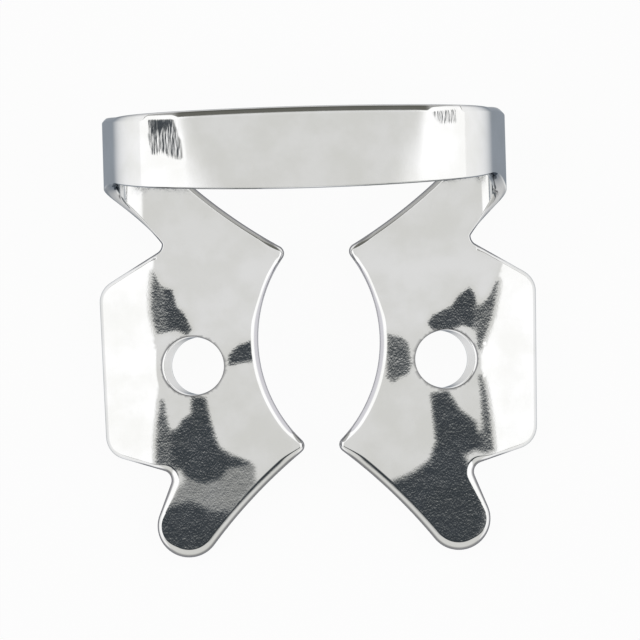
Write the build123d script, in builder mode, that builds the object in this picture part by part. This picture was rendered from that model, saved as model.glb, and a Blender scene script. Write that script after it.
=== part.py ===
from build123d import *
from math import acos, asin, atan2, cos, degrees, dist, radians, sin, sqrt, tan
import os

# A winged spring clamp that grips a tooth: one polished steel sheet, stamped, domed and bent.
# +Y points to the bow and +Z up. The clamp lies on its wings, its front lobes and its heels.

# Sheet, with its edges broken all round
sheet = 0.62
edge_break = 0.16

# Bow: the spring strip that arches from heel to heel, on legs that lean in
bow_leg_half_width = 8.27
bow_leg_height = 4.70
bow_leg_lean = 10.0
bow_set_over = -0.52
bow_crown_half_width = 5.20
bow_crown_slope = 14.0
bow_front_middle = 6.42
bow_front_side = 6.85
bow_back_middle = 10.13
bow_back_side = 9.90
bow_roll = 4.0
bow_stations = 16

# Heels: the tight bends from the necks of the jaws up into the legs, set in from the bow's feet
heel_inset = 1.27
heel_run = 0.30
heel_lift = 0.271
heel_front_haste = 3.0
heel_back_haste = 1.2
heel_stations = 10
neck_back = 8.10

# Jaws: domed along and across, with gripping edges curved round the tooth
dome_rise = 0.86
dome_top = -1.46
neck_flat_start = 4.30
lobe_dome_radius = 38.0
cross_radius = 110.0
prong_back = (1.30, 3.65)
grip_deepest = (2.75, -0.70)
prong_front = (0.60, -5.24)
prong_radius = 0.35
neck_waist = (3.30, 4.91)

# Front lobes
lobe_centre = (6.13, -8.72)
lobe_radius = 1.43
lobe_inner_angle = 218.0
lobe_notch = (6.72, -6.33)
lobe_notch_radius = 0.45

# Wings: side plates that droop outwards from a crease beside the holes
wing_droop = 17.0
wing_crease = 7.26
wing_crease_radius = 0.90
wing_dome_share = 0.65
wing_back_root = 3.86
wing_root_radius = 0.45
wing_back_corner = (9.92, 2.11)
wing_front_corner = (9.77, -5.35)
wing_corner_radius = 1.05

# Forceps holes
hole_centre = (5.73, -1.46)
hole_radius = 1.30
hole_break = 0.08
hole_tilt = 18.0

# Room that cutting solids keep around the clamp
spare = 3.0

half = sheet / 2
heel_start = bow_leg_half_width - heel_inset
neck_angle = asin(heel_start / cross_radius)
leg_lean = radians(bow_leg_lean)
crown_slope = radians(bow_crown_slope)


def heel_reach(side):
    """How far from a heel's start its neck and its leg would cross, 1 for right and -1 for left."""
    aside = bow_leg_half_width + side * bow_set_over - heel_start + bow_leg_height * tan(leg_lean)
    return aside / (cos(neck_angle) - tan(leg_lean) * sin(neck_angle))


def heel_radius(side):
    """Middle radius of the heel on one side."""
    return (heel_reach(side) - heel_run) / tan((radians(90) + neck_angle + leg_lean) / 2)


widest_heel = max(heel_radius(1), heel_radius(-1))
heel_sag = widest_heel * (1 - cos(neck_angle)) + heel_run * sin(neck_angle)
neck_height = heel_lift + half + heel_sag
axis_height = neck_height - cross_radius * cos(neck_angle)
cross_axis = Axis((0, 0, axis_height), (0, 1, 0))
wing_edge_turn = atan2(wing_back_corner[0] - heel_start, wing_back_root - wing_back_corner[1])
neck_front = wing_back_root + wing_root_radius * tan(wing_edge_turn / 2)
front_limit = lobe_centre[1] - lobe_radius - spare
back_limit = bow_back_middle + spare
side_limit = wing_back_corner[0] + 2 * spare


def side_view(plane, top, rise, lobe_dome, height):
    """All that lies under one face of the sheet, seen from the side, from lobe to neck."""
    run = neck_flat_start - dome_top
    bend = (run**2 + rise**2) / (4 * rise)
    turn = degrees(asin(run / (2 * bend)))
    front_turn = degrees(asin((dome_top - front_limit) / lobe_dome))
    with BuildSketch(plane) as view:
        with BuildLine():
            crown = JernArc((dome_top, top), (1, 0), bend + height, -turn)
            foot = JernArc(crown @ 1, crown % 1, bend - height, turn)
            flat = Line(foot @ 1, (back_limit, top - rise))
            lobe = JernArc((dome_top, top), (-1, 0), lobe_dome + height, front_turn)
            floor = top - rise - spare * 2
            Polyline(flat @ 1, (back_limit, floor), ((lobe @ 1).X, floor), lobe @ 1)
        make_face()
    return view.sketch


def solid_under(height):
    """The solid below the sheet's face that lies at this height over its middle."""
    crest = cross_radius + dome_rise
    crease_angle = asin(wing_crease / crest)
    crease = (wing_crease, 0, axis_height + crest * cos(crease_angle))
    wing_way = (cos(radians(wing_droop)), 0, -sin(radians(wing_droop)))
    wing_plane = Plane(crease, x_dir=(0, 1, 0), z_dir=wing_way)
    wing_lobe = lobe_dome_radius / wing_dome_share
    jaw_view = side_view(Plane.YZ, axis_height + crest + height, dome_rise, lobe_dome_radius, height)
    wing_view = side_view(wing_plane, height, dome_rise * wing_dome_share, wing_lobe, height)
    with BuildPart() as under:
        revolve(jaw_view, axis=cross_axis, revolution_arc=degrees(asin(side_limit / cross_radius)))
        extrude(wing_view, amount=2 * side_limit, both=True, mode=Mode.INTERSECT)
        lengthwise = under.edges().filter_by(lambda edge: abs((edge % 0.5).Y) > 0.8)
        inside = lengthwise.filter_by_position(Axis.X, wing_crease / 2, side_limit - spare / 2)
        crease_edges = inside.filter_by(lambda edge: (edge @ 0.5).Z > axis_height + cross_radius - spare)
        fillet(crease_edges, wing_crease_radius + height)
    return under.part


def on_lobe(angle):
    """A point of the front lobe's round end."""
    turn = radians(angle)
    return (lobe_centre[0] + lobe_radius * cos(turn), lobe_centre[1] + lobe_radius * sin(turn))


def lobe_outer_angle():
    """Where the lobe's straight outer side touches its round end."""
    aside, ahead = lobe_notch[0] - lobe_centre[0], lobe_notch[1] - lobe_centre[1]
    return degrees(atan2(ahead, aside) - acos(lobe_radius / dist(lobe_notch, lobe_centre)))


with BuildPart() as jaw:
    add(solid_under(half))
    add(solid_under(-half), mode=Mode.SUBTRACT)
    neck_end = (heel_start, neck_back)
    wing_root = (heel_start, wing_back_root)
    with BuildSketch() as outline:
        with BuildLine():
            lobe_inner = on_lobe(lobe_inner_angle)
            lobe_outer = on_lobe(lobe_outer_angle())
            flank_turn = radians(lobe_inner_angle - 90)
            ThreePointArc(neck_end, neck_waist, prong_back)
            ThreePointArc(prong_back, grip_deepest, prong_front)
            TangentArc(lobe_inner, prong_front, tangent=(cos(flank_turn), sin(flank_turn)))
            ThreePointArc(lobe_inner, on_lobe(270), lobe_outer)
            Polyline(lobe_outer, lobe_notch, wing_front_corner, wing_back_corner, wing_root, neck_end)
        make_face()
        for corner, radius in (
            (prong_back, prong_radius),
            (prong_front, prong_radius),
            (lobe_notch, lobe_notch_radius),
            (wing_front_corner, wing_corner_radius),
            (wing_back_corner, wing_corner_radius),
            (wing_root, wing_root_radius),
        ):
            fillet(outline.vertices().sort_by_distance((*corner, 0))[0], radius)
    extrude(amount=4 * spare, both=True, mode=Mode.INTERSECT)
    walls = jaw.faces().filter_by(lambda face: abs(face.normal_at().Z) < 0.01)
    neck_cut = walls.filter_by(Axis.X).sort_by_distance((*neck_end, 0))[0]
    rims = (walls - [neck_cut]).edges().filter_by(lambda edge: abs((edge % 0.5).Z) < 0.6)
    chamfer(rims, edge_break)
    hole_height = axis_height + sqrt((cross_radius + dome_rise) ** 2 - hole_centre[0] ** 2)
    hole_way = (sin(radians(hole_tilt)), 0, cos(radians(hole_tilt)))
    with Locations(Plane((*hole_centre, hole_height), x_dir=(0, 1, 0), z_dir=hole_way)):
        Cylinder(hole_radius, 2 * spare, mode=Mode.SUBTRACT)
    bore = jaw.faces().filter_by(GeomType.CYLINDER).sort_by_distance((*hole_centre, hole_height))[0]
    chamfer(bore.edges().filter_by(GeomType.LINE, reverse=True), hole_break)


bow_foot = neck_height + bow_leg_height
bow_shoulder_radius = (bow_leg_half_width - bow_crown_half_width) / (cos(leg_lean) - sin(crown_slope))
bow_shoulder_turn = 90 - bow_leg_lean - bow_crown_slope
bow_crown_radius = bow_crown_half_width / sin(crown_slope)


def heel_path(side):
    """The middle line of one heel and its leg, from the neck up to the foot of the bow."""
    reach = heel_reach(side)
    with BuildLine(Plane.XZ) as path:
        start = (side * heel_start, neck_height)
        corner = (side * (heel_start + reach * cos(neck_angle)), neck_height - reach * sin(neck_angle))
        foot = (bow_set_over + side * bow_leg_half_width, bow_foot)
        FilletPolyline(start, corner, foot, radius=heel_radius(side))
    return path.line


with BuildLine(Plane.XZ) as bow_path:
    right_foot = (bow_set_over + bow_leg_half_width, bow_foot)
    leg_way = (-sin(leg_lean), cos(leg_lean))
    shoulder = JernArc(right_foot, leg_way, bow_shoulder_radius, bow_shoulder_turn)
    crown = JernArc(shoulder @ 1, shoulder % 1, bow_crown_radius, 2 * bow_crown_slope)
    JernArc(crown @ 1, crown % 1, bow_shoulder_radius, bow_shoulder_turn)


def blend(start, end, share):
    """The value this share of the way from start to end."""
    return start + (end - start) * share


def neck_section(side):
    """The upright cut where a heel meets its neck: its plane, and the strip's width and height there."""
    top, bottom = (
        axis_height + sqrt((cross_radius + height) ** 2 - heel_start**2) for height in (half, -half)
    )
    place = (side * heel_start, (neck_front + neck_back) / 2, (top + bottom) / 2)
    return Plane(place, x_dir=(0, 1, 0), z_dir=(1, 0, 0)), neck_back - neck_front, top - bottom


def strip_section(place, way, front, back, roll):
    """A cut across the strip: its plane, and the strip's width and thickness there."""
    edge_way = (0, cos(radians(roll)), sin(radians(roll)))
    middle = (place.X, (front + back) / 2, place.Z)
    return Plane(middle, x_dir=edge_way, z_dir=way), back - front, sheet


def heel_sections(side):
    """The cuts across one heel and its leg, from the neck up, seen along the strip's run to the left."""
    path = heel_path(side)
    for step in range(1, heel_stations):
        share = step / heel_stations
        front = blend(bow_front_side, neck_front, (1 - share) ** heel_front_haste)
        back = blend(bow_back_side, neck_back, (1 - share) ** heel_back_haste)
        yield strip_section(path @ share, (path % share) * side, front, back, bow_roll * share)


def bow_sections():
    """The cuts across the bow, from its right foot over to its left."""
    for step in range(bow_stations + 1):
        share = step / bow_stations
        aside = (2 * share - 1) ** 2
        front = blend(bow_front_middle, bow_front_side, aside)
        back = blend(bow_back_middle, bow_back_side, aside)
        yield strip_section(bow_path.line @ share, bow_path.line % share, front, back, bow_roll)


with BuildPart() as strip:
    for plane, width, thickness in (
        neck_section(1),
        *heel_sections(1),
        *bow_sections(),
        *reversed(list(heel_sections(-1))),
        neck_section(-1),
    ):
        with BuildSketch(plane) as section:
            Rectangle(width, thickness)
            chamfer(section.vertices(), edge_break)
    loft()

with BuildPart() as clamp:
    add(jaw.part)
    mirror(about=Plane.YZ)
    add(strip.part)

clamp.part.label = "clamp"
os.makedirs("parts", exist_ok=True)
export_step(clamp.part, "parts/clamp.step")
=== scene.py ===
from math import acos, asin, atan2, cos, dist, pi, radians, sin, sqrt, tan

import bpy
import numpy as np
from mathutils import Matrix, Vector
from mathutils.geometry import delaunay_2d_cdt


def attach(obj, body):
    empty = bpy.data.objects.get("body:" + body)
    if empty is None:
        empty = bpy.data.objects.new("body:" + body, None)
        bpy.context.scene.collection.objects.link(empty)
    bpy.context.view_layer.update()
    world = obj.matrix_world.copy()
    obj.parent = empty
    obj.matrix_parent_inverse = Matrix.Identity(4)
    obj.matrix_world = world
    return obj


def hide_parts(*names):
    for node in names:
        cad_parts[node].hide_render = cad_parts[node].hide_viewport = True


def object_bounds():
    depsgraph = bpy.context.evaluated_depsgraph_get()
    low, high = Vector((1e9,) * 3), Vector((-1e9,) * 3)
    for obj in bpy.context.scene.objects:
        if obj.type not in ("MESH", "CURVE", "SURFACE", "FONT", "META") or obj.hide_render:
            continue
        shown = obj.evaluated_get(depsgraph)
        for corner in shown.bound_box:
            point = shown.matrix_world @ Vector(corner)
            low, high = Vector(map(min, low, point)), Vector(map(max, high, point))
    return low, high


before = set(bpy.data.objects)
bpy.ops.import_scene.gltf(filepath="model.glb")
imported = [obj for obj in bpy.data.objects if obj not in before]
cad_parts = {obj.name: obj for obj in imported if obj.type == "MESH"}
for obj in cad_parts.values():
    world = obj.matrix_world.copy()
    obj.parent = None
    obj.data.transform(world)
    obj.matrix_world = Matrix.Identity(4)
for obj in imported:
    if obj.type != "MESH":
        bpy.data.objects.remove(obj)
cad_low, cad_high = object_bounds()

MM = 0.001

# The clamp is one steel sheet: a flat blank is cut, then bent. Sizes are in millimetres and degrees.
# A place on the blank is (a, y): a runs from the right jaw's middle plane along the sheet,
# over the bow, to the left jaw's middle plane.
SHEET = 0.62
HALF = SHEET / 2

# Bow
BOW_LEG_HALF_WIDTH = 8.27
BOW_LEG_HEIGHT = 4.70
BOW_LEG_LEAN = 10.0
BOW_SET_OVER = -0.52
BOW_CROWN_HALF_WIDTH = 5.20
BOW_CROWN_SLOPE = 14.0
BOW_FRONT_MIDDLE = 6.42
BOW_FRONT_SIDE = 6.85
BOW_BACK_MIDDLE = 10.13
BOW_BACK_SIDE = 9.90
BOW_ROLL = 4.0

# Heels
HEEL_INSET = 1.27
HEEL_RUN = 0.30
HEEL_LIFT = 0.271
HEEL_FRONT_HASTE = 3.0
HEEL_BACK_HASTE = 6.0
NECK_BACK = 8.10
BOW_TRIM = 0.012

# Jaws
DOME_RISE = 0.86
DOME_TOP = -1.46
NECK_FLAT_START = 4.30
LOBE_DOME_RADIUS = 38.0
CROSS_RADIUS = 110.0
PRONG_BACK = (1.30, 3.65)
GRIP_DEEPEST = (2.75, -0.70)
PRONG_FRONT = (0.60, -5.24)
PRONG_RADIUS = 0.35
NECK_WAIST = (3.30, 4.91)

# Front lobes
LOBE_CENTRE = (6.13, -8.72)
LOBE_RADIUS = 1.43
LOBE_INNER_ANGLE = 218.0
LOBE_NOTCH = (6.72, -6.33)
LOBE_NOTCH_RADIUS = 0.45

# Wings
WING_DROOP = 17.0
WING_CREASE = 7.26
WING_CREASE_BLEND = 0.035
WING_DOME_SHARE = 0.65
WING_BACK_ROOT = 3.86
WING_ROOT_RADIUS = 0.45
WING_BACK_CORNER = (9.92, 2.11)
WING_FRONT_CORNER = (9.77, -5.35)
WING_CORNER_RADIUS = 1.05

# Forceps holes
HOLE_CENTRE = (5.52, -1.46)
HOLE_RADIUS = 1.30
HOLE_TILT = 42.0
HOLE_STRETCH = 1.05
HOLE_TILT_REACH = 0.80
HOLE_RIM = 0.06

# Edges are bevelled and rounded: how wide that is, and how deep
JAW_RIM = 0.40
BACK_GRIP_RIM = 0.28
WING_RIM = 0.17
STRIP_FRONT_RIM = 0.10
NECK_RIM = 0.25
BOW_BACK_RIM = 0.36
PRONG_RIM = 0.20
PRONG_RIM_REACH = 1.5
RIM_DEPTH = 0.26
FULL_DEPTH_RIM = 0.11
# From outside in: share of the width, share of the depth still to rise, and painted edge shade at the holes
RIM_PROFILE = [
    (0.0, 1.0, 0.36),
    (0.02, 0.86, 0.0),
    (0.07, 0.74, 0.0),
    (0.16, 0.62, 0.0),
    (0.45, 0.34, 0.0),
    (0.75, 0.09, 1.0),
    (0.88, 0.02, 1.0),
    (1.0, 0.0, 0.75),
]
# Runs over which one width turns into the next, counted from a crease, a prong, a heel or a neck
WING_RIM_RUN = (-0.5, 0.5)
BACK_GRIP_RUN = (0.2, 1.7)
STRIP_RIM_RUN = (-0.4, 0.0)
STRIP_ROOT_MARGIN = 0.2
NECK_RIM_RUN = (0.2, 0.8)
BACK_RIM_RUN = (-0.1, 0.1)
BOW_RIM_RUN = (0.0, 3.0)
GRIP_SIDE_RUN = (0.6, 0.5)
GRIP_END_RUN = (0.3, 0.8)

# Shade is painted as a dark line along the outermost line of each edge, weaker on the wings, the grips and
# the strip
LINE_WIDTH = 0.085
LINE_FADE = 0.03
WING_LINE_RUN = (0.5, 1.7)
WING_ROOT_RUN = (-0.1, 0.1)
STRIP_LINE_RUN = (0.0, 0.5)
STRIP_ROOT_RUN = (0.0, 0.3)
WING_LINE_LOSS = 0.90
GRIP_LINE_LOSS = 0.65
STRIP_LINE_LOSS = 0.55

# Mesh
EDGE_STEP = 0.07
FINE_STEP = 0.01
FACE_STEP = 0.13
BEND_EASE = 0.40
EDGE_EASE = 0.80
# An edge's direction is taken over so many points each way
NORMAL_REACH = 2
BORDER_CLEARANCE = 0.55 * FACE_STEP
GRID_PARTS = 200
# The flat is triangulated inside its links
INSIDE_LINKS = 1
MERGE_GAP = 1e-6

# Dents from forming, as outlines in plan. In each the steel tilts by this slope, towards +X and +Y.
DARK_TILT = (0.0, -0.31)
MOTTLED_TILT = (0.0, -0.262)
LINED_TILT = (0.0, -0.220)
LEFT_LIGHT_TILT = (-0.32, 0.0)
RIGHT_LIGHT_TILT = (0.32, 0.0)
PLAIN_TILT = (0.0, 0.14)
# Grain of the tilts that don't have it in full
GRAIN = {LEFT_LIGHT_TILT: 0.0, RIGHT_LIGHT_TILT: 0.0, PLAIN_TILT: 0.0, LINED_TILT: 0.5}
DENT_EDGE = 0.45
DENT_SPREAD = 0.80
WEAR_SPREAD = 0.40
BOW_TWIST = 0.10
BOW_TWIST_LINE = 8.6
# The least upward part of the normals on the faces that take dents
JAW_FACE_UP = 0.93
CROWN_FACE_UP = 0.90
BOW_FACE_UP = 0.50
BOW_DENTS = {
    "bow_left": ((-0.31, -0.30), [(-7.4, 9.7), (-6.4, 9.65), (-6.3, 9.2), (-6.55, 8.9), (-7.3, 8.9)]),
    "bow_left_streaks": ((-0.385, -0.30), [
        (-7.4, 9.0), (-6.4, 9.2), (-6.1, 8.7), (-6.05, 8.0),
        (-6.5, 8.1), (-6.9, 8.3), (-7.2, 8.1), (-7.35, 8.2),
    ]),
    "bow_right": ((0.415, -0.30), [(5.5, 9.7), (6.5, 9.85), (6.5, 9.2), (5.8, 9.2)]),
}
DENTS = {
    "left_back_slope": (PLAIN_TILT, [(-6.9, 0.9), (-3.0, 0.9), (-2.6, 2.4), (-6.9, 2.4)]),
    "right_back_slope": (PLAIN_TILT, [(7.2, 0.9), (3.0, 0.9), (2.6, 2.4), (7.2, 2.4)]),
    "left_back_wing": (LEFT_LIGHT_TILT, [
        (-7.45, 3.6), (-7.5, 2.4), (-7.5, 1.0), (-7.3, 0.0), (-7.7, 0.0), (-8.1, 1.5), (-8.5, 3.0),
    ]),
    "left_front_wing": (LEFT_LIGHT_TILT, [
        (-7.5, -2.2), (-7.5, -3.0), (-7.55, -4.0), (-7.65, -5.0),
        (-7.7, -5.9), (-8.1, -5.8), (-7.9, -4.0), (-7.7, -2.2),
    ]),
    "right_front_wing": (RIGHT_LIGHT_TILT, [
        (7.7, -2.6), (7.75, -3.4), (7.8, -4.4), (7.9, -5.8), (8.2, -5.7), (8.1, -4.2), (7.9, -2.6),
    ]),
    "right_back_wing": (RIGHT_LIGHT_TILT, [
        (8.35, 2.2), (8.15, 1.2), (7.9, 0.2), (7.55, -0.8), (7.4, -1.2), (7.4, -2.0),
        (7.65, -2.7), (8.0, -2.7), (8.0, -0.8), (8.4, 1.0), (8.7, 2.4),
    ]),
    "left_above_hole": (DARK_TILT, [
        (-7.0, 2.05), (-6.65, 2.0), (-6.45, 1.2), (-6.15, 0.95),
        (-5.8, 0.2), (-6.0, 0.0), (-6.4, 0.2), (-7.0, 0.2),
    ]),
    "left_back_crease": (MOTTLED_TILT, [
        (-7.4, 2.75), (-7.15, 2.2), (-7.0, 1.5), (-7.0, 0.2), (-7.3, 0.1), (-7.5, 1.0), (-7.5, 1.8),
    ]),
    "left_beside_hole": (DARK_TILT, [
        (-4.05, -1.05), (-3.6, -0.6), (-3.1, -0.45), (-3.05, -1.25), (-3.6, -1.3), (-4.05, -1.4),
    ]),
    "left_below_hole": (DARK_TILT, [
        (-5.75, -2.95), (-5.3, -3.0), (-5.2, -3.6), (-5.0, -4.5), (-4.8, -5.2), (-4.3, -5.6),
        (-3.4, -6.0), (-4.2, -6.2), (-4.6, -6.7), (-5.4, -6.9), (-6.0, -6.6), (-6.3, -6.1),
        (-6.9, -5.85), (-7.0, -4.6), (-6.5, -4.4), (-6.2, -3.95), (-5.8, -3.7),
    ]),
    "left_front_crease": (MOTTLED_TILT, [
        (-7.2, -3.0), (-7.05, -4.0), (-6.95, -4.6), (-6.95, -5.8),
        (-7.45, -5.95), (-7.45, -5.0), (-7.35, -4.0),
    ]),
    "left_lobe_root": (LINED_TILT, [
        (-3.2, -6.15), (-4.2, -6.2), (-4.6, -6.7), (-5.4, -6.9), (-6.1, -6.7), (-6.5, -7.1),
        (-6.9, -7.9), (-6.0, -7.8), (-5.0, -8.3), (-4.3, -8.2), (-3.2, -6.8),
    ]),
    "left_lobe_tip": (DARK_TILT, [
        (-6.95, -7.9), (-6.0, -7.8), (-5.0, -8.3), (-4.4, -8.3), (-5.0, -9.1),
        (-5.7, -9.6), (-6.3, -9.75), (-7.0, -9.5), (-7.5, -9.0), (-7.4, -8.4),
    ]),
    "right_above_hole": (DARK_TILT, [
        (5.0, 0.2), (5.2, 0.5), (6.1, 0.9), (6.4, 1.35), (6.9, 1.7), (7.1, 1.4),
        (7.15, 0.5), (7.0, -0.05), (6.5, 0.1), (6.0, -0.1), (5.2, -0.1),
    ]),
    "right_back_crease": (MOTTLED_TILT, [
        (8.15, 2.0), (7.7, 1.2), (7.2, 0.8), (7.15, 0.0), (7.25, -1.0),
        (7.28, -1.0), (7.42, -0.6), (7.62, -0.1), (7.85, 0.5), (8.1, 1.6),
    ]),
    "right_beside_hole": (MOTTLED_TILT, [
        (3.15, -0.3), (3.7, -0.45), (4.0, -0.7), (4.1, -1.7), (3.95, -2.05), (3.3, -2.35), (3.1, -2.2),
    ]),
    "right_lobe": (DARK_TILT, [
        (5.1, -3.1), (5.7, -3.0), (5.9, -3.3), (6.2, -3.8), (6.9, -4.4), (7.0, -4.9), (7.3, -5.0),
        (7.4, -5.5), (6.9, -5.5), (6.3, -5.8), (6.5, -6.4), (6.8, -6.6), (6.8, -7.2), (7.2, -8.4),
        (7.15, -9.0), (6.6, -9.7), (6.0, -9.95), (5.3, -9.7), (4.4, -8.7), (3.0, -7.2), (4.2, -6.7),
        (5.0, -6.1), (5.3, -5.2), (5.2, -4.2),
    ]),
    "right_front_crease": (MOTTLED_TILT, [
        (7.28, -2.3), (7.45, -3.0), (7.6, -4.2), (7.7, -5.6), (7.35, -5.6), (7.4, -4.5), (7.35, -3.2),
    ]),
}

# Steel
STEEL_COLOURS = ((0.86, 0.86, 0.845, 1), (0.92, 0.92, 0.92, 1))
# Painted shade: a grey-lilac band on the grips' bevelled edges, darkest at the outside, standing in for what
# they mirror
PAINTED_GRIP_SHADE_COLOUR = (0.56, 0.555, 0.585, 1)
# Painted shade: a dark line along the outermost line of the sheet's edges and round the holes' rims
PAINTED_EDGE_SHADE_COLOUR = (0.24, 0.24, 0.25, 1)
STEEL_EDGE_TINT = (0.27, 0.30, 0.34, 1)
STEEL_ROUGHNESS = (0.05, 0.11)
# The painted grip shade comes in over this range
PAINTED_GRIP_SHADE_STEP = (0.42, 0.60)
# The painted edge shade comes in over this range
PAINTED_EDGE_SHADE_STEP = (0.1, 0.9)
NOISE_STEP = (0.3, 0.7)
CLOUD_SIZE = (1.8, 1.8)
CLOUD_DETAIL = 4.0
GLOSS_SIZE = (0.5, 0.9)
GLOSS_DETAIL = 3.0
# Relief: size across the blank and along y in millimetres, and depth in metres
GRAIN_RELIEF = [((0.06, 0.09), 7e-6), ((0.10, 0.16), 6e-6), ((0.35, 0.50), 9e-6)]
STREAK_RELIEF = ((0.11, 0.90), 9e-6)
PLAIN_GRAIN = 0.06

# Studio light, laid out by slope: steel that tilts by so much mirrors this part of it upwards
NADIR_OFFSET = 1.02
MIDDLE_RUN = (0.34, 0.44)
PANEL_COLOURS = ((0.715, 0.715, 0.70, 1), (0.765, 0.765, 0.76, 1))
PANEL_RUN = (-0.12, 0.25)
SIDE_COLOUR = (1.12, 1.12, 1.12, 1)
SIDE_RUN = (0.205, 0.315)
BORDER_COLOUR = (0.29, 0.295, 0.29, 1)
BORDER_RUN = (0.14, 0.212)
FRONT_GAP_COLOURS = ((0.078, 0.088, 0.098, 1), (0.036, 0.043, 0.050, 1))
FRONT_GAP_DEEPENING = (0.26, 0.33)
FRONT_GAP_RUN = (0.225, 0.262)
FRONT_LIGHT_COLOUR = (0.70, 0.70, 0.68, 1)
FRONT_LIGHT_RUN = (0.46, 0.54)
BACK_GAP_COLOUR = (0.14, 0.14, 0.125, 1)
BACK_GAP_RUN = (0.42, 0.48)
BACK_GAP_STRENGTHS = (1.0, 0.7)
BACK_LIGHT_COLOUR = (0.90, 0.90, 0.90, 1)
BACK_LIGHT_RUN = (0.86, 0.95)

# Floor, in metres
FLOOR_HALF_WIDTH = 3.0
FLOOR_GAP = 0.00002
FLOOR_COLOUR = (0.95, 0.95, 0.95, 1)
FLOOR_ROUGHNESS = 0.9
FLOOR_SHEEN = 0.1
FLOOR_WHITE = 0.93

# The photograph's frame: its scale, the pixel where the origin lies, and the clamp's turn in it
PHOTO_SIZE = 640
PIXELS_PER_MM = 22.0
ORIGIN_PIXEL = (318.7, 330.3)
TURN = 1.6
CAMERA_HEIGHT = 1.0
CAMERA_SENSOR = 36.0
CAMERA_REACH = (0.1, 20.0)

# Worked out from the sizes above
HEEL_START = BOW_LEG_HALF_WIDTH - HEEL_INSET
NECK_ANGLE = asin(HEEL_START / CROSS_RADIUS)
LEG_LEAN = radians(BOW_LEG_LEAN)
CROWN_SLOPE = radians(BOW_CROWN_SLOPE)
HEEL_TURN = pi / 2 + NECK_ANGLE + LEG_LEAN
WING_EDGE_TURN = atan2(WING_BACK_CORNER[0] - HEEL_START, WING_BACK_ROOT - WING_BACK_CORNER[1])
NECK_FRONT = WING_BACK_ROOT + WING_ROOT_RADIUS * tan(WING_EDGE_TURN / 2)


def heel_reach(side):
    """How far from a heel's start its neck and its leg would cross, 1 for right and -1 for left."""
    aside = BOW_LEG_HALF_WIDTH + side * BOW_SET_OVER - HEEL_START + BOW_LEG_HEIGHT * tan(LEG_LEAN)
    return aside / (cos(NECK_ANGLE) - tan(LEG_LEAN) * sin(NECK_ANGLE))


def heel_radius(side):
    """Middle radius of the heel on one side."""
    return (heel_reach(side) - HEEL_RUN) / tan(HEEL_TURN / 2)


WIDEST_HEEL = max(heel_radius(1), heel_radius(-1))
HEEL_SAG = WIDEST_HEEL * (1 - cos(NECK_ANGLE)) + HEEL_RUN * sin(NECK_ANGLE)
NECK_HEIGHT = HEEL_LIFT + HALF + HEEL_SAG
AXIS_HEIGHT = NECK_HEIGHT - CROSS_RADIUS * cos(NECK_ANGLE)


def heel_bends(side):
    """A heel and its leg, from the neck up, as lengths and turns in radians."""
    reach = heel_reach(side)
    leg = (BOW_LEG_HEIGHT + reach * sin(NECK_ANGLE)) / cos(LEG_LEAN) - (reach - HEEL_RUN)
    return [(HEEL_RUN, 0.0), (heel_radius(side) * HEEL_TURN, HEEL_TURN), (leg, 0.0)]


def bow_bends():
    """The bow from foot to foot, as lengths and turns in radians."""
    shoulder_turn = pi / 2 - LEG_LEAN - CROWN_SLOPE
    shoulder_radius = (BOW_LEG_HALF_WIDTH - BOW_CROWN_HALF_WIDTH) / (cos(LEG_LEAN) - sin(CROWN_SLOPE))
    shoulder = (shoulder_radius * shoulder_turn, shoulder_turn)
    crown = (BOW_CROWN_HALF_WIDTH / sin(CROWN_SLOPE) * 2 * CROWN_SLOPE, 2 * CROWN_SLOPE)
    return [shoulder, crown, shoulder]


def smooth(values, reach):
    """Running mean of close samples over this reach, with the ends held."""
    window = 2 * int(reach / FINE_STEP / 2) + 1
    padded = np.pad(values, window // 2, mode="edge")
    return np.convolve(padded, np.ones(window) / window, mode="valid")


def ease(share):
    """A soft step from 0 to 1."""
    share = np.clip(share, 0, 1)
    return share * share * (3 - 2 * share)


def run_share(length, run):
    """A soft step from 0 at a run's start to 1 at its end."""
    start, end = run
    return ease((length - start) / (end - start))


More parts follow.
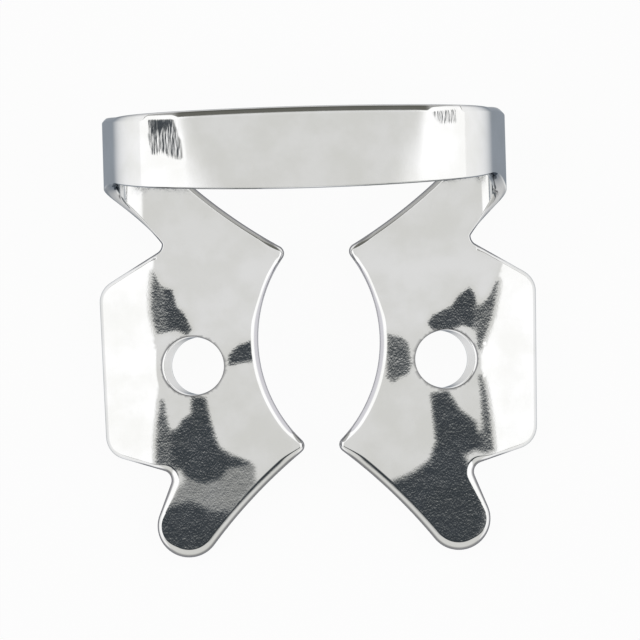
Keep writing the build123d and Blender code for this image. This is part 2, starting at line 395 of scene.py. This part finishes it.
class Strip:
    """The bent strip from neck to neck: its middle line and its two edges, by length along it."""

    def __init__(self):
        right, bow, left = heel_bends(1), bow_bends(), heel_bends(-1)[::-1]
        lengths, turns = np.array(right + bow + left).T
        self.right, self.bow, self.left = (sum(length for length, _ in run) for run in (right, bow, left))
        self.length = lengths.sum()
        self.s = np.arange(0, self.length + FINE_STEP / 2, FINE_STEP)
        ends = np.cumsum(lengths)
        curvature = (turns / lengths)[np.searchsorted(ends, self.s).clip(max=len(ends) - 1)]
        heading = np.concatenate(([0.0], np.cumsum(smooth(curvature, BEND_EASE)[:-1]))) * FINE_STEP
        self.heading = heading / heading[-1] * turns.sum() - NECK_ANGLE
        x = HEEL_START + np.concatenate(([0.0], np.cumsum(np.cos(self.heading[:-1])))) * FINE_STEP
        z = NECK_HEIGHT + np.concatenate(([0.0], np.cumsum(np.sin(self.heading[:-1])))) * FINE_STEP
        share = self.s / self.s[-1]
        self.x = x - (x[-1] + HEEL_START) * share
        self.z = z - (z[-1] - NECK_HEIGHT) * share - BOW_TRIM * self.in_bow()
        self.front = self.edge(NECK_FRONT, BOW_FRONT_SIDE, BOW_FRONT_MIDDLE, HEEL_FRONT_HASTE)
        self.back = self.edge(NECK_BACK, BOW_BACK_SIDE, BOW_BACK_MIDDLE, HEEL_BACK_HASTE)
        self.roll = radians(BOW_ROLL) * self.in_bow()

    def in_bow(self):
        """0 at the necks, rising over the heels and legs to 1 in the bow."""
        return np.minimum(1, np.minimum(self.s / self.right, (self.length - self.s) / self.left))

    def edge(self, neck, side, middle, haste):
        """The y of one edge along the strip."""
        aside = ((self.s - self.right) / self.bow * 2 - 1).clip(-1, 1) ** 2
        bow = middle + (side - middle) * aside
        y = bow + (neck - bow) * (1 - self.in_bow()).clip(min=0) ** haste
        held = smooth(y, EDGE_EASE)
        near_neck = ease(np.minimum(self.s, self.length - self.s) / EDGE_EASE)
        return y + (held - y) * near_neck

    def place(self, s, y, height):
        """Points of the bent strip."""
        x, z, heading, front, back, roll = (
            np.interp(s, self.s, values)
            for values in (self.x, self.z, self.heading, self.front, self.back, self.roll)
        )
        middle = (front + back) / 2
        along = np.stack((np.cos(heading), np.zeros_like(s), np.sin(heading)), axis=1)
        edge_way = np.stack((np.zeros_like(s), np.cos(roll), np.sin(roll)), axis=1)
        normal = np.cross(along, edge_way)
        normal /= np.linalg.norm(normal, axis=1)[:, None]
        spine = np.stack((x, middle, z), axis=1)
        return spine + (y - middle)[:, None] * edge_way + height[:, None] * normal


STRIP = Strip()
BLANK_LENGTH = 2 * HEEL_START + STRIP.length


def side_view(y, rise, lobe_radius):
    """How far the dome lies below its top, along y."""
    run = NECK_FLAT_START - DOME_TOP
    bend = (run**2 + rise**2) / (4 * rise)
    from_top = y - DOME_TOP
    from_flat = NECK_FLAT_START - y
    lobe = lobe_radius - np.sqrt(lobe_radius**2 - from_top.clip(max=0) ** 2)
    crown = bend - np.sqrt(bend**2 - from_top.clip(0, run / 2) ** 2)
    foot = rise - (bend - np.sqrt(bend**2 - from_flat.clip(0, run / 2) ** 2))
    return np.where(from_top < 0, lobe, np.where(from_top < run / 2, crown, foot))


def jaw_height(x, y):
    """Height of the sheet's middle face over the right jaw and its wing."""
    crest = CROSS_RADIUS + DOME_RISE
    jaw = AXIS_HEIGHT + np.sqrt((crest - side_view(y, DOME_RISE, LOBE_DOME_RADIUS)) ** 2 - x**2)
    crease = AXIS_HEIGHT + sqrt(crest**2 - WING_CREASE**2)
    droop = radians(WING_DROOP)
    wing_view = side_view(y, DOME_RISE * WING_DOME_SHARE, LOBE_DOME_RADIUS / WING_DOME_SHARE)
    wing = crease - (x - WING_CREASE) * tan(droop) - wing_view / cos(droop)
    blend = (WING_CREASE_BLEND - np.abs(jaw - wing)).clip(min=0) / WING_CREASE_BLEND
    return np.minimum(jaw, wing) - blend**2 * WING_CREASE_BLEND / 4


def jaw_place(x, y, height):
    """Points of the right jaw."""
    z = jaw_height(x, y)
    slope_x = (jaw_height(x + FINE_STEP, y) - jaw_height(x - FINE_STEP, y)) / (2 * FINE_STEP)
    slope_y = (jaw_height(x, y + FINE_STEP) - jaw_height(x, y - FINE_STEP)) / (2 * FINE_STEP)
    stretch = np.sqrt(1 + slope_x**2 + slope_y**2)
    # Edges stand upright on the jaw, and square to the sheet where the neck runs into the heel
    square = ease((y - PRONG_BACK[1]) / (NECK_FRONT - PRONG_BACK[1]))
    lean_x = -slope_x / stretch * square
    lean_y = -slope_y / stretch * square
    lift = (1 - square) * stretch + square / stretch
    # The holes' walls lean outwards
    from_hole = np.hypot(x - HOLE_CENTRE[0], y - HOLE_CENTRE[1]) - HOLE_RADIUS
    lean_x = lean_x + (1 - from_hole / HOLE_TILT_REACH).clip(0, 1) * tan(radians(HOLE_TILT))
    return np.stack((x + height * lean_x, y + height * lean_y, z + height * lift), axis=1)


def bend_blank(a, y, height):
    """Points of the bent sheet, from places on the blank and heights over its middle face."""
    points = np.zeros((len(a), 3))
    in_strip = (y > (NECK_FRONT + WING_BACK_ROOT) / 2) & (a > HEEL_START) & (a < BLANK_LENGTH - HEEL_START)
    right = ~in_strip & (a < BLANK_LENGTH / 2)
    left = ~in_strip & ~right
    points[in_strip] = STRIP.place(a[in_strip] - HEEL_START, y[in_strip], height[in_strip])
    points[right] = jaw_place(a[right], y[right], height[right])
    points[left] = jaw_place(BLANK_LENGTH - a[left], y[left], height[left]) * (-1, 1, 1)
    return points


def line(start, end):
    """Close points from start to end."""
    start, end = np.array(start, float), np.array(end, float)
    count = max(2, int(np.linalg.norm(end - start) / FINE_STEP))
    return start + (end - start) * np.linspace(0, 1, count)[:, None]


def arc(start, through, end):
    """Close points on the arc from start to end through a third point."""
    (ax, ay), (bx, by), (cx, cy) = start, through, end
    d = 2 * (ax * (by - cy) + bx * (cy - ay) + cx * (ay - by))
    ux = ((ax**2 + ay**2) * (by - cy) + (bx**2 + by**2) * (cy - ay) + (cx**2 + cy**2) * (ay - by)) / d
    uy = ((ax**2 + ay**2) * (cx - bx) + (bx**2 + by**2) * (ax - cx) + (cx**2 + cy**2) * (bx - ax)) / d
    first, middle, last = (np.arctan2(p[1] - uy, p[0] - ux) for p in (start, through, end))
    whole = (last - first) % (2 * pi)
    if (middle - first) % (2 * pi) > whole:
        whole -= 2 * pi
    radius = np.hypot(ax - ux, ay - uy)
    angles = first + whole * np.linspace(0, 1, max(2, int(abs(whole) * radius / FINE_STEP)))
    return np.stack((ux + radius * np.cos(angles), uy + radius * np.sin(angles)), axis=1)


def left_normals(points):
    """Left-hand normals along open close points."""
    way = np.gradient(points, axis=0)
    way /= np.linalg.norm(way, axis=1)[:, None]
    return np.stack((-way[:, 1], way[:, 0]), axis=1)


def round_corner(before, after, radius):
    """Both runs cut back, and the arc of this radius between them."""
    way_in, way_out = before[-1] - before[-2], after[1] - after[0]
    side = np.sign(way_in[0] * way_out[1] - way_in[1] * way_out[0])
    centres = before + side * radius * left_normals(before)
    gaps = np.linalg.norm(centres[:, None, :] - after[None], axis=2).min(axis=1)
    cut = np.nonzero(gaps >= radius)[0][-1]
    centre = centres[cut]
    start = int(np.linalg.norm(after - centre, axis=1).argmin())
    first, last = before[cut] - centre, after[start] - centre
    turn = np.arctan2(first[0] * last[1] - first[1] * last[0], first @ last)
    steps = np.linspace(0, 1, max(3, int(abs(turn) * radius / FINE_STEP)))
    angles = np.arctan2(first[1], first[0]) + turn * steps
    bend = centre + radius * np.stack((np.cos(angles), np.sin(angles)), axis=1)
    return before[:cut], bend, after[start + 1 :]


def on_lobe(angle):
    """A point of the front lobe's round end."""
    return (LOBE_CENTRE[0] + LOBE_RADIUS * cos(angle), LOBE_CENTRE[1] + LOBE_RADIUS * sin(angle))


def lobe_outer_angle():
    """Where the lobe's straight outer side touches its round end."""
    aside, ahead = LOBE_NOTCH[0] - LOBE_CENTRE[0], LOBE_NOTCH[1] - LOBE_CENTRE[1]
    return atan2(ahead, aside) - acos(LOBE_RADIUS / dist(LOBE_NOTCH, LOBE_CENTRE))


def lobe_flank():
    """The middle of the flank, an arc from the front prong that runs smoothly into the lobe's round end."""
    lobe_inner = radians(LOBE_INNER_ANGLE)
    start, end = Vector(on_lobe(lobe_inner)), Vector(PRONG_FRONT)
    chord = end - start
    bend = atan2(chord.y, chord.x) - (lobe_inner - pi / 2)
    return (start + end) / 2 + Vector((chord.y, -chord.x)) / 2 * tan(bend / 2)


def jaw_outline():
    """The right jaw's edge on the blank, from the neck's back corner round to its front corner."""
    lobe_inner, lobe_outer = on_lobe(radians(LOBE_INNER_ANGLE)), on_lobe(lobe_outer_angle())
    wing_root = (HEEL_START, WING_BACK_ROOT)
    runs = [
        (arc((HEEL_START, NECK_BACK), NECK_WAIST, PRONG_BACK), PRONG_RADIUS),
        (arc(PRONG_BACK, GRIP_DEEPEST, PRONG_FRONT), PRONG_RADIUS),
        (arc(PRONG_FRONT, lobe_flank(), lobe_inner), None),
        (arc(lobe_inner, on_lobe(-pi / 2), lobe_outer), None),
        (line(lobe_outer, LOBE_NOTCH), LOBE_NOTCH_RADIUS),
        (line(LOBE_NOTCH, WING_FRONT_CORNER), WING_CORNER_RADIUS),
        (line(WING_FRONT_CORNER, WING_BACK_CORNER), WING_CORNER_RADIUS),
        (line(WING_BACK_CORNER, wing_root), WING_ROOT_RADIUS),
        (line(wing_root, (HEEL_START, NECK_BACK)), None),
    ]
    outline = []
    current = runs[0][0]
    for (_, radius), (following, _) in zip(runs, runs[1:]):
        bend = current[:0]
        if radius:
            current, bend, following = round_corner(current, following, radius)
        outline += [current, bend]
        current = following
    return np.concatenate(outline)


def even(points, step):
    """A closed run of points, spaced evenly."""
    closed = np.concatenate((points, points[:1]))
    lengths = np.concatenate(([0], np.cumsum(np.linalg.norm(np.diff(closed, axis=0), axis=1))))
    places = np.linspace(0, lengths[-1], int(lengths[-1] / step), endpoint=False)
    return np.stack([np.interp(places, lengths, closed[:, k]) for k in (0, 1)], axis=1)


def blank_outline():
    """The whole blank's edge, closed, as evenly spaced places that keep the sheet on their left."""
    right = jaw_outline()
    left = right[::-1] * (-1, 1) + (BLANK_LENGTH, 0)
    along = HEEL_START + STRIP.s
    front = np.stack((along, STRIP.front), axis=1)
    back = np.stack((along, STRIP.back), axis=1)[::-1]
    return even(np.concatenate((right, front[1:-1], left, back[1:-1])), EDGE_STEP)


def hole_outline(centre):
    """A forceps hole's edge on the blank, a little longer across the jaw than along it."""
    count = int(2 * pi * HOLE_RADIUS / EDGE_STEP)
    turn = np.linspace(0, -2 * pi, count, endpoint=False)
    long_radius = HOLE_RADIUS * HOLE_STRETCH
    return np.stack((centre[0] + long_radius * np.cos(turn), centre[1] + HOLE_RADIUS * np.sin(turn)), axis=1)


def inward(points):
    """Normals that point into the sheet along a closed edge that keeps the sheet on its left."""
    way = np.roll(points, -NORMAL_REACH, axis=0) - np.roll(points, NORMAL_REACH, axis=0)
    way /= np.linalg.norm(way, axis=1)[:, None]
    return np.stack((-way[:, 1], way[:, 0]), axis=1)


def inside(points, outline):
    """Which points lie inside a closed outline."""
    found = np.zeros(len(points), bool)
    for (ax, ay), (bx, by) in zip(outline, np.roll(outline, -1, axis=0)):
        if ay == by:
            continue
        crosses = (ay > points[:, 1]) != (by > points[:, 1])
        found ^= crosses & (points[:, 0] < (bx - ax) * (points[:, 1] - ay) / (by - ay) + ax)
    return found


def depth_inside(points, outline):
    """How deep points lie inside a closed outline, below 0 outside it."""
    nearest = np.full(len(points), np.inf)
    for start, end in zip(outline, np.roll(outline, -1, axis=0)):
        way = end - start
        share = ((points - start) @ way / (way @ way)).clip(0, 1)
        nearest = np.minimum(nearest, np.linalg.norm(points - start - share[:, None] * way, axis=1))
    return np.where(inside(points, outline), nearest, -nearest)


def from_jaw(places):
    """Places as their own jaw has them: how far from its middle plane along the sheet, and y."""
    return np.minimum(places[:, 0], BLANK_LENGTH - places[:, 0]), places[:, 1]


def on_grip(places):
    """How far places belong to the jaws' gripping edges, 0 to 1."""
    far, y = from_jaw(places)
    between = run_share(PRONG_BACK[1] - y, GRIP_END_RUN) * run_share(y - PRONG_FRONT[1], GRIP_END_RUN)
    return run_share(far - GRIP_DEEPEST[0], GRIP_SIDE_RUN) * between


def rim_width(places):
    """Width of the worked edge: full on the jaws, less on the wings, the strip and the prongs."""
    far, y = from_jaw(places)
    width = JAW_RIM + (WING_RIM - JAW_RIM) * run_share(far - WING_CREASE, WING_RIM_RUN)
    width += (BACK_GRIP_RIM - width) * on_grip(places) * run_share(y, BACK_GRIP_RUN)
    behind_wing = y > WING_BACK_ROOT - STRIP_ROOT_MARGIN
    width += (STRIP_FRONT_RIM - width) * run_share(far - HEEL_START, STRIP_RIM_RUN) * behind_wing
    on_neck = run_share(y - PRONG_BACK[1], NECK_RIM_RUN) * (far < HEEL_START)
    on_back = run_share(y - NECK_BACK, BACK_RIM_RUN) * (far >= HEEL_START)
    width += (NECK_RIM - width) * np.maximum(on_neck, on_back)
    width += (BOW_BACK_RIM - width) * run_share(far - HEEL_START - STRIP.right, BOW_RIM_RUN) * on_back
    for prong in (PRONG_BACK, PRONG_FRONT):
        near = ease(1 - np.hypot(far - prong[0], y - prong[1]) / PRONG_RIM_REACH)
        width += (PRONG_RIM - width) * near
    return width


def line_strength(places):
    """How strongly shade is painted along the outermost line of an edge, 0 to 1."""
    far, y = from_jaw(places)
    on_wing = run_share(far - WING_CREASE, WING_LINE_RUN) * run_share(WING_BACK_ROOT - y, WING_ROOT_RUN)
    on_strip = run_share(far - HEEL_START, STRIP_LINE_RUN) * run_share(y - WING_BACK_ROOT, STRIP_ROOT_RUN)
    strength = (1 - WING_LINE_LOSS * on_wing) * (1 - GRIP_LINE_LOSS * on_grip(places))
    return strength * (1 - STRIP_LINE_LOSS * on_strip)


def edge_rings(edge, width, is_hole):
    """A worked edge as rings from outside in: each one's places, heights, painted grip shade and painted
    edge shade.
    """
    way = inward(edge)
    depth = RIM_DEPTH * np.minimum(1, width / FULL_DEPTH_RIM)
    rings = []
    for inset, fall, hole_edge_shade in RIM_PROFILE:
        places = edge + way * (width * inset)[:, None]
        # Painted shade on the grip edges, darkest at the outside
        painted_grip_shade = on_grip(edge) * (1 - inset)
        # Painted shade: a dark line round the holes' rims and along the outermost line of the other edges
        if is_hole:
            painted_edge_shade = np.full(len(edge), hole_edge_shade)
        else:
            painted_edge_shade = ease((LINE_WIDTH - width * inset) / LINE_FADE) * line_strength(edge)
        rings.append((places, HALF - depth * fall, painted_grip_shade, painted_edge_shade))
    return rings


def flat_grid(outer, borders):
    """Points of a triangle grid over the flat of the sheet, clear of its borders."""
    low, high = outer.min(axis=0), outer.max(axis=0)
    rows = np.arange(low[1], high[1], FACE_STEP * sqrt(3) / 2)
    columns = np.arange(low[0], high[0], FACE_STEP)
    grid = np.concatenate([
        np.stack((columns + FACE_STEP / 2 * (k % 2), np.full(len(columns), row)), axis=1)
        for k, row in enumerate(rows)
    ])
    grid = grid[inside(grid, borders[0]) & ~inside(grid, borders[1]) & ~inside(grid, borders[2])]
    border_places = np.concatenate(borders)
    clear = np.ones(len(grid), bool)
    for part in np.array_split(np.arange(len(grid)), GRID_PARTS):
        gap = np.linalg.norm(grid[part][:, None, :] - border_places[None], axis=2).min(axis=1)
        clear[part] = gap > BORDER_CLEARANCE
    return grid[clear]


def flat_triangles(borders, grid):
    """Triangles of the flat, by the numbers of the borders' points and then the grid's."""
    links, start = [], 0
    for border in borders:
        links += [(start + i, start + (i + 1) % len(border)) for i in range(len(border))]
        start += len(border)
    vectors = [Vector(place) for place in np.concatenate((*borders, grid)).tolist()]
    found, _, triangles, sources, _, _ = delaunay_2d_cdt(vectors, links, [], INSIDE_LINKS, MERGE_GAP)
    centres = np.array([sum((found[i] for i in corners), Vector((0, 0))) / 3 for corners in triangles])
    solid = ~inside(centres, borders[1]) & ~inside(centres, borders[2])
    return [[sources[i][0] for i in corners] for keep, corners in zip(solid, triangles) if keep]


def build_sheet():
    """The bent sheet: vertices, faces, places on the blank, painted grip shade, painted edge shade and the
    flat's normals.
    """
    outer = blank_outline()
    holes = [hole_outline(HOLE_CENTRE), hole_outline((BLANK_LENGTH - HOLE_CENTRE[0], HOLE_CENTRE[1]))]
    rims = [edge_rings(outer, rim_width(outer), False)]
    rims += [edge_rings(hole, np.full(len(hole), HOLE_RIM), True) for hole in holes]
    rings = [ring for rim in rims for ring in rim]
    places, heights, painted_grip_shade, painted_edge_shade = (np.concatenate(values) for values in zip(*rings))

    faces, loops, count = [], [], 0
    for rim in rims:
        ids = count + np.arange(sum(len(ring[0]) for ring in rim)).reshape(len(rim), -1)
        for near, far in zip(ids, ids[1:]):
            faces += zip(near, np.roll(near, -1), np.roll(far, -1), far)
        loops.append(ids)
        count += ids.size

    # The flat of the sheet, between the worked edges
    borders = [places[ids[-1]] for ids in loops]
    grid = flat_grid(outer, borders)
    flat_ids = np.concatenate([ids[-1] for ids in loops] + [np.arange(count, count + len(grid))])
    faces += [tuple(flat_ids[corners]) for corners in flat_triangles(borders, grid)]
    plain = np.zeros(len(grid))
    places = np.concatenate((places, grid))
    heights = np.concatenate((heights, plain + HALF))
    painted_grip_shade = np.concatenate((painted_grip_shade, plain))
    painted_edge_shade = np.concatenate((painted_edge_shade, plain))

    # Both faces of the sheet, and the walls between them
    top = bend_blank(places[:, 0], places[:, 1], heights)
    bottom = bend_blank(places[:, 0], places[:, 1], -heights)
    total = len(places)
    faces += [tuple(i + total for i in face[::-1]) for face in faces]
    for wall, *_ in loops:
        faces += zip(np.roll(wall, -1), wall, wall + total, np.roll(wall, -1) + total)
    flat_normals = np.zeros((2 * total, 3))
    flat_normals[flat_ids] = sheet_normals(places[flat_ids], HALF)
    flat_normals[flat_ids + total] = -sheet_normals(places[flat_ids], -HALF)
    points = np.concatenate((top, bottom))
    return points, faces, np.tile(places, (2, 1)), np.tile(painted_grip_shade, 2), np.tile(painted_edge_shade, 2), flat_normals


def sheet_normals(places, height):
    """Exact normals of the bent sheet, at places on the blank."""
    ahead, up = np.array((FINE_STEP, 0)), np.array((0, FINE_STEP))
    heights = np.full(len(places), height)
    along = bend_blank(*(places + ahead).T, heights) - bend_blank(*(places - ahead).T, heights)
    across = bend_blank(*(places + up).T, heights) - bend_blank(*(places - up).T, heights)
    normals = np.cross(along, across)
    return normals / np.linalg.norm(normals, axis=1)[:, None]


def dent(normals, points, chosen, dents):
    """Works the tilt of each dent into the chosen points' normals, and gives how worn each point is."""
    wear = np.zeros(len(points))
    for tilt, outline in dents.values():
        depth = depth_inside(points[chosen, :2], np.array(outline))
        share = ease(depth / DENT_EDGE + DENT_SPREAD)[:, None]
        slope = normals[chosen, :2] / normals[chosen, 2:]
        slope += (np.array(tilt) - slope) * share
        dented = np.concatenate((slope, np.ones((len(slope), 1))), axis=1)
        normals[chosen] = dented / np.linalg.norm(dented, axis=1)[:, None]
        reached = ease((depth + WEAR_SPREAD) / WEAR_SPREAD) * (GRAIN.get(tilt, 1.0) > 0)
        wear[chosen] += (GRAIN.get(tilt, 1.0) - wear[chosen]) * reached
    return wear


def dent_normals(mesh, points, flat_normals):
    """The mesh's smooth normals with the dents worked in on the upper face, and the wear around them."""
    normals = np.zeros(len(points) * 3)
    mesh.vertex_normals.foreach_get("vector", normals)
    normals = normals.reshape(-1, 3)
    flat = flat_normals.any(axis=1)
    normals[flat] = flat_normals[flat]
    low = points[:, 2] < NECK_HEIGHT + 2 * DOME_RISE
    grain = dent(normals, points, (normals[:, 2] > JAW_FACE_UP) & low, DENTS)
    crown = (normals[:, 2] > CROWN_FACE_UP) & ~low
    normals[crown, 0] *= 1 + BOW_TWIST * (BOW_TWIST_LINE - points[crown, 1])
    streaks = dent(normals, points, (normals[:, 2] > BOW_FACE_UP) & ~low, BOW_DENTS)
    return normals, grain, streaks


def make_clamp():
    """The clamp as one mesh, with the blank's places in millimetres as its texture coordinates."""
    points, faces, places, painted_grip_shade, painted_edge_shade, flat_normals = build_sheet()
    mesh = bpy.data.meshes.new("clamp_sheet")
    mesh.from_pydata((points * MM).tolist(), [], [tuple(int(i) for i in face) for face in faces])
    mesh.polygons.foreach_set("use_smooth", [True] * len(mesh.polygons))
    layer = mesh.uv_layers.new(name="blank")
    corner = np.zeros(len(mesh.loops), int)
    mesh.loops.foreach_get("vertex_index", corner)
    layer.data.foreach_set("uv", places[corner].ravel())
    normals, grain, streaks = dent_normals(mesh, points, flat_normals)
    # The painted grip shade and the painted edge shade go with the mesh as attributes
    for name, values in {"grain": grain, "streaks": streaks, "painted_grip_shade": painted_grip_shade, "painted_edge_shade": painted_edge_shade}.items():
        mesh.attributes.new(name, "FLOAT", "POINT").data.foreach_set("value", values)
    mesh.normals_split_custom_set_from_vertices(normals.tolist())
    clamp = bpy.data.objects.new("clamp_sheet", mesh)
    bpy.context.scene.collection.objects.link(clamp)
    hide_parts("clamp")
    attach(clamp, "root")
    return clamp


class Nodes:
    """Short ways to add shader nodes."""

    def __init__(self, tree):
        self.tree = tree

    def add(self, kind, **settings):
        """A new node with these settings."""
        node = self.tree.nodes.new(kind)
        for name, value in settings.items():
            setattr(node, name, value)
        return node

    def link(self, source, target):
        """Joins a socket to another one, or gives it a value."""
        if isinstance(source, bpy.types.NodeSocket):
            self.tree.links.new(source, target)
        else:
            target.default_value = source

    def math(self, operation, first, second=0.0):
        """One operation on two values."""
        node = self.add("ShaderNodeMath", operation=operation)
        self.link(first, node.inputs[0])
        self.link(second, node.inputs[1])
        return node.outputs[0]

    def step(self, value, low, high, start=0.0, end=1.0):
        """From start at low to end at high, smooth between."""
        node = self.add("ShaderNodeMapRange", interpolation_type="SMOOTHSTEP")
        self.link(value, node.inputs["Value"])
        node.inputs["From Min"].default_value = low
        node.inputs["From Max"].default_value = high
        node.inputs["To Min"].default_value = start
        node.inputs["To Max"].default_value = end
        return node.outputs["Result"]

    def mix(self, share, first, second):
        """One colour going over into another."""
        node = self.add("ShaderNodeMix", data_type="RGBA")
        sockets = {socket.identifier: socket for socket in node.inputs}
        self.link(share, sockets["Factor_Float"])
        self.link(first, sockets["A_Color"])
        self.link(second, sockets["B_Color"])
        return next(socket for socket in node.outputs if socket.identifier == "Result_Color")

    def noise(self, place, across, along, detail=2.0):
        """Noise with grains of this size across the blank and along y, in millimetres."""
        scaled = self.add("ShaderNodeMapping")
        self.link(place, scaled.inputs["Vector"])
        scaled.inputs["Scale"].default_value = (1 / across, 1 / along, 1)
        texture = self.add("ShaderNodeTexNoise", noise_dimensions="2D")
        self.link(scaled.outputs[0], texture.inputs["Vector"])
        texture.inputs["Scale"].default_value = 1.0
        texture.inputs["Detail"].default_value = detail
        return texture.outputs["Fac"]

    def bump(self, height, depth, strength, normal=None):
        """Relief of this depth in metres, on top of a normal."""
        node = self.add("ShaderNodeBump")
        node.inputs["Distance"].default_value = depth
        self.link(strength, node.inputs["Strength"])
        self.link(height, node.inputs["Height"])
        if normal:
            self.link(normal, node.inputs["Normal"])
        return node.outputs[0]


def steel():
    """Spring steel with a tumbled polish: fine grain, drawn streaks, uneven gloss and painted shade on its
    edges.
    """
    material = bpy.data.materials.new("polished_steel")
    material.use_nodes = True
    nodes = Nodes(material.node_tree)
    shader = material.node_tree.nodes["Principled BSDF"]
    place = nodes.add("ShaderNodeUVMap", uv_map="blank").outputs["UV"]
    grain, streaks, painted_grip_shade, painted_edge_shade = (
        nodes.add("ShaderNodeAttribute", attribute_name=name).outputs["Fac"]
        for name in ("grain", "streaks", "painted_grip_shade", "painted_edge_shade")
    )
    worn = nodes.math("ADD", nodes.math("MULTIPLY", grain, 1 - PLAIN_GRAIN), PLAIN_GRAIN)
    normal = None
    for size, depth in GRAIN_RELIEF:
        normal = nodes.bump(nodes.noise(place, *size), depth, worn, normal)
    streak_size, streak_depth = STREAK_RELIEF
    normal = nodes.bump(nodes.noise(place, *streak_size), streak_depth, streaks, normal)
    nodes.link(normal, shader.inputs["Normal"])
    cloud = nodes.step(nodes.noise(place, *CLOUD_SIZE, CLOUD_DETAIL), *NOISE_STEP)
    colour = nodes.mix(cloud, *STEEL_COLOURS)
    # Painted shade: a grey-lilac band on the grip edges' bevels
    colour = nodes.mix(nodes.step(painted_grip_shade, *PAINTED_GRIP_SHADE_STEP), colour, PAINTED_GRIP_SHADE_COLOUR)
    # Painted shade: a dark line along the edges and round the holes
    colour = nodes.mix(nodes.step(painted_edge_shade, *PAINTED_EDGE_SHADE_STEP), colour, PAINTED_EDGE_SHADE_COLOUR)
    nodes.link(colour, shader.inputs["Base Color"])
    gloss = nodes.noise(place, *GLOSS_SIZE, GLOSS_DETAIL)
    nodes.link(nodes.step(gloss, *NOISE_STEP, *STEEL_ROUGHNESS), shader.inputs["Roughness"])
    shader.inputs["Metallic"].default_value = 1.0
    shader.inputs["Specular Tint"].default_value = STEEL_EDGE_TINT
    return material


def studio_light():
    """A pale panel overhead, white sides, and dark gaps before and behind."""
    world = bpy.data.worlds.new("studio")
    bpy.context.scene.world = world
    world.use_nodes = True
    nodes = Nodes(world.node_tree)
    way = nodes.add("ShaderNodeSeparateXYZ")
    nodes.link(nodes.add("ShaderNodeTexCoord").outputs["Generated"], way.inputs[0])
    above = nodes.math("ADD", way.outputs["Z"], NADIR_OFFSET)
    aside = nodes.math("ABSOLUTE", nodes.math("DIVIDE", way.outputs["X"], above))
    behind = nodes.math("DIVIDE", way.outputs["Y"], above)
    before = nodes.math("MULTIPLY", behind, -1.0)
    near_middle = nodes.step(aside, *MIDDLE_RUN, 1.0, 0.0)

    panel = nodes.mix(nodes.step(behind, *PANEL_RUN), *PANEL_COLOURS)
    light = nodes.mix(nodes.step(aside, *SIDE_RUN), panel, SIDE_COLOUR)
    border = nodes.math("MULTIPLY", nodes.step(before, *BORDER_RUN), near_middle)
    light = nodes.mix(border, light, BORDER_COLOUR)
    dark = nodes.mix(nodes.step(before, *FRONT_GAP_DEEPENING), *FRONT_GAP_COLOURS)
    front_gap = nodes.math("MULTIPLY", nodes.step(before, *FRONT_GAP_RUN), near_middle)
    light = nodes.mix(front_gap, light, dark)
    light = nodes.mix(nodes.step(before, *FRONT_LIGHT_RUN), light, FRONT_LIGHT_COLOUR)
    strength = nodes.step(aside, *MIDDLE_RUN, *BACK_GAP_STRENGTHS)
    back_gap = nodes.math("MULTIPLY", nodes.step(behind, *BACK_GAP_RUN), strength)
    light = nodes.mix(back_gap, light, BACK_GAP_COLOUR)
    light = nodes.mix(nodes.step(behind, *BACK_LIGHT_RUN), light, BACK_LIGHT_COLOUR)
    nodes.link(light, world.node_tree.nodes["Background"].inputs["Color"])


def make_floor():
    """A plain white floor with a faint shadow."""
    half = FLOOR_HALF_WIDTH
    mesh = bpy.data.meshes.new("floor")
    corners = [(-half, -half, 0), (half, -half, 0), (half, half, 0), (-half, half, 0)]
    mesh.from_pydata(corners, [], [(0, 1, 2, 3)])
    floor = bpy.data.objects.new("floor", mesh)
    floor.location.z = cad_low.z - FLOOR_GAP
    bpy.context.scene.collection.objects.link(floor)
    material = bpy.data.materials.new("floor")
    material.use_nodes = True
    nodes = Nodes(material.node_tree)
    shader = material.node_tree.nodes["Principled BSDF"]
    shader.inputs["Base Color"].default_value = FLOOR_COLOUR
    shader.inputs["Roughness"].default_value = FLOOR_ROUGHNESS
    shader.inputs["Specular IOR Level"].default_value = FLOOR_SHEEN
    rays = nodes.add("ShaderNodeLightPath").outputs
    seen = nodes.math("MAXIMUM", rays["Is Camera Ray"], rays["Is Glossy Ray"])
    seen = nodes.math("MAXIMUM", seen, rays["Is Transmission Ray"])
    white = nodes.add("ShaderNodeEmission")
    blend = nodes.add("ShaderNodeMixShader")
    nodes.link(nodes.math("MULTIPLY", seen, FLOOR_WHITE), blend.inputs[0])
    nodes.link(shader.outputs[0], blend.inputs[1])
    nodes.link(white.outputs[0], blend.inputs[2])
    nodes.link(blend.outputs[0], material.node_tree.nodes["Material Output"].inputs["Surface"])
    mesh.materials.append(material)


def make_camera():
    """Looks straight down from far away, with a long lens."""
    data = bpy.data.cameras.new("camera")
    camera = bpy.data.objects.new("camera", data)
    bpy.context.scene.collection.objects.link(camera)
    field = PHOTO_SIZE / PIXELS_PER_MM * MM
    data.sensor_width = CAMERA_SENSOR
    data.lens = CAMERA_SENSOR * CAMERA_HEIGHT / field
    data.clip_start, data.clip_end = CAMERA_REACH
    turn = Matrix.Rotation(radians(-TURN), 2)
    middle = PHOTO_SIZE / 2
    aside = Vector((middle - ORIGIN_PIXEL[0], ORIGIN_PIXEL[1] - middle)) / PIXELS_PER_MM * MM
    camera.location = (*(turn @ aside), CAMERA_HEIGHT)
    camera.rotation_euler = (0, 0, radians(-TURN))
    bpy.context.scene.camera = camera


clamp = make_clamp()
clamp.data.materials.append(steel())
studio_light()
make_floor()
make_camera()
bpy.context.scene.view_settings.view_transform = "Standard"
